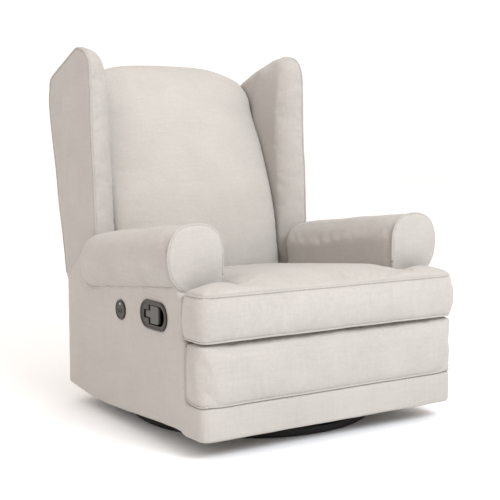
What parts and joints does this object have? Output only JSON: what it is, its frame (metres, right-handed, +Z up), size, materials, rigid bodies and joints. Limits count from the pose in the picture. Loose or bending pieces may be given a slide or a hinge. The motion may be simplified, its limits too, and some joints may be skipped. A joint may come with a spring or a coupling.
{
  "type": "glider nursery chair",
  "caption": "Wingback upholstered glider chair on a swivel ring base, with rolled arms, a reclining back, a lift-up footrest, a side release handle and a charging port.",
  "frame": {"origin": "on the floor at the centre of the base ring, on the swivel axis", "axes": "+Z up, -Y towards the front of the chair, +X to the right as seen from the front"},
  "size_m": [0.8884, 1.0165, 1.0704],
  "materials": {
    "upholstery": "off-white slub linen weave",
    "rubber_foot": "matte",
    "black_steel": "black powder coat",
    "bright_steel": "satin",
    "frame_wood": "sawn hardwood and plywood",
    "dark_plastic": "fine-grained dark grey-brown",
    "lever_plastic": "satin grey",
    "cable_jacket": "smooth black",
    "indicator": "milky lens"
  },
  "bodies": {
    "base": {"base_foot_ring": "rubber_foot", "base_ring": "black_steel", "base_spokes": "black_steel", "base_hub": "black_steel", "swivel_lower_race": "bright_steel", "swivel_balls": "bright_steel", "swivel_cage": "cable_jacket", "swivel_bolt": "bright_steel"},
    "turntable": {"swivel_upper_race": "bright_steel", "turntable_plate": "black_steel", "hanger_frames": "black_steel", "hanger_pins": "bright_steel"},
    "front_swing_links": {"front_swing_links": "black_steel"},
    "rear_swing_links": {"rear_swing_links": "black_steel"},
    "chassis": {"carriage_plates": "black_steel", "chassis_pins": "bright_steel", "side_rails": "frame_wood", "end_rails": "frame_wood", "cross_rails": "frame_wood", "seat_springs": "bright_steel", "frame_blocks": "frame_wood", "left_side_panel": "upholstery", "right_side_panel": "upholstery", "front_plinth": "upholstery", "rear_panel": "upholstery", "seat_cushion": "upholstery", "arm_boards": "frame_wood", "left_arm_pad": "upholstery", "right_arm_pad": "upholstery", "arm_front_panels": "upholstery", "recline_ears": "black_steel", "mechanism_plates": "black_steel", "handle_bezel": "dark_plastic", "handle_pin": "bright_steel", "lever_spring": "bright_steel", "release_cable": "cable_jacket", "latch_housing": "black_steel", "port_bezel": "dark_plastic", "port_sockets": "cable_jacket", "port_light": "indicator", "port_lead": "cable_jacket", "power_inlet": "dark_plastic"},
    "back": {"back_posts": "frame_wood", "back_rails": "frame_wood", "back_springs": "bright_steel", "back_pad": "upholstery", "back_outer_panel": "upholstery", "left_wing": "upholstery", "right_wing": "upholstery", "wing_boards": "frame_wood", "recline_brackets": "black_steel"},
    "lower_links": {"lower_links": "black_steel", "torque_tube": "black_steel", "knee_pins": "bright_steel"},
    "upper_links": {"upper_links": "black_steel", "footrest_pins": "bright_steel"},
    "footrest": {"footrest_brackets": "black_steel", "footrest_board": "frame_wood", "footrest_pad": "upholstery"},
    "release_lever": {"release_lever": "lever_plastic"}
  },
  "joints": [
    {"name": "swivel", "type": "hinge", "parent": "base", "child": "turntable", "pos_m": [0, 0, 0.0315], "axis": [0, 0, 1], "continuous": true},
    {"name": "glide", "type": "hinge", "parent": "turntable", "child": "rear_swing_links", "pos_m": [0, 0.13, 0.212], "axis": [1, 0, 0], "range_deg": [-22, 22]},
    {"name": "front_link_swing", "type": "hinge", "parent": "turntable", "child": "front_swing_links", "pos_m": [0, -0.13, 0.212], "axis": [1, 0, 0], "range_deg": [-22, 22]},
    {"name": "carriage_level", "type": "hinge", "parent": "rear_swing_links", "child": "chassis", "pos_m": [0, 0.13, 0.082], "axis": [1, 0, 0], "range_deg": [-22, 22]},
    {"name": "recline", "type": "hinge", "parent": "chassis", "child": "back", "pos_m": [0, 0.3715, 0.33], "axis": [-1, 0, 0], "range_deg": [0, 32]},
    {"name": "footrest_lift", "type": "hinge", "parent": "chassis", "child": "lower_links", "pos_m": [0, -0.3085, 0.272], "axis": [-1, 0, 0], "range_deg": [0, 78.99]},
    {"name": "footrest_knee", "type": "hinge", "parent": "lower_links", "child": "upper_links", "pos_m": [0, -0.31638, 0.12221], "axis": [-1, 0, 0], "range_deg": [-143.88, 0]},
    {"name": "footrest_tilt", "type": "hinge", "parent": "upper_links", "child": "footrest", "pos_m": [0, -0.324, 0.262], "axis": [-1, 0, 0], "range_deg": [0, 144.89]},
    {"name": "release_pull", "type": "hinge", "parent": "chassis", "child": "release_lever", "pos_m": [-0.407, -0.126, 0.338], "axis": [0, 0, -1], "range_deg": [0, 28], "stiffness_Nm_per_rad": 0.6, "springref_deg": -8.59}
  ],
  "couplings": [
    {"joint": "front_link_swing", "follows": "glide", "ratio": 1},
    {"joint": "carriage_level", "follows": "glide", "ratio": -1},
    {"joint": "footrest_knee", "follows": "footrest_lift", "ratio": -1.8214},
    {"joint": "footrest_tilt", "follows": "footrest_lift", "ratio": 1.8342}
  ]
}
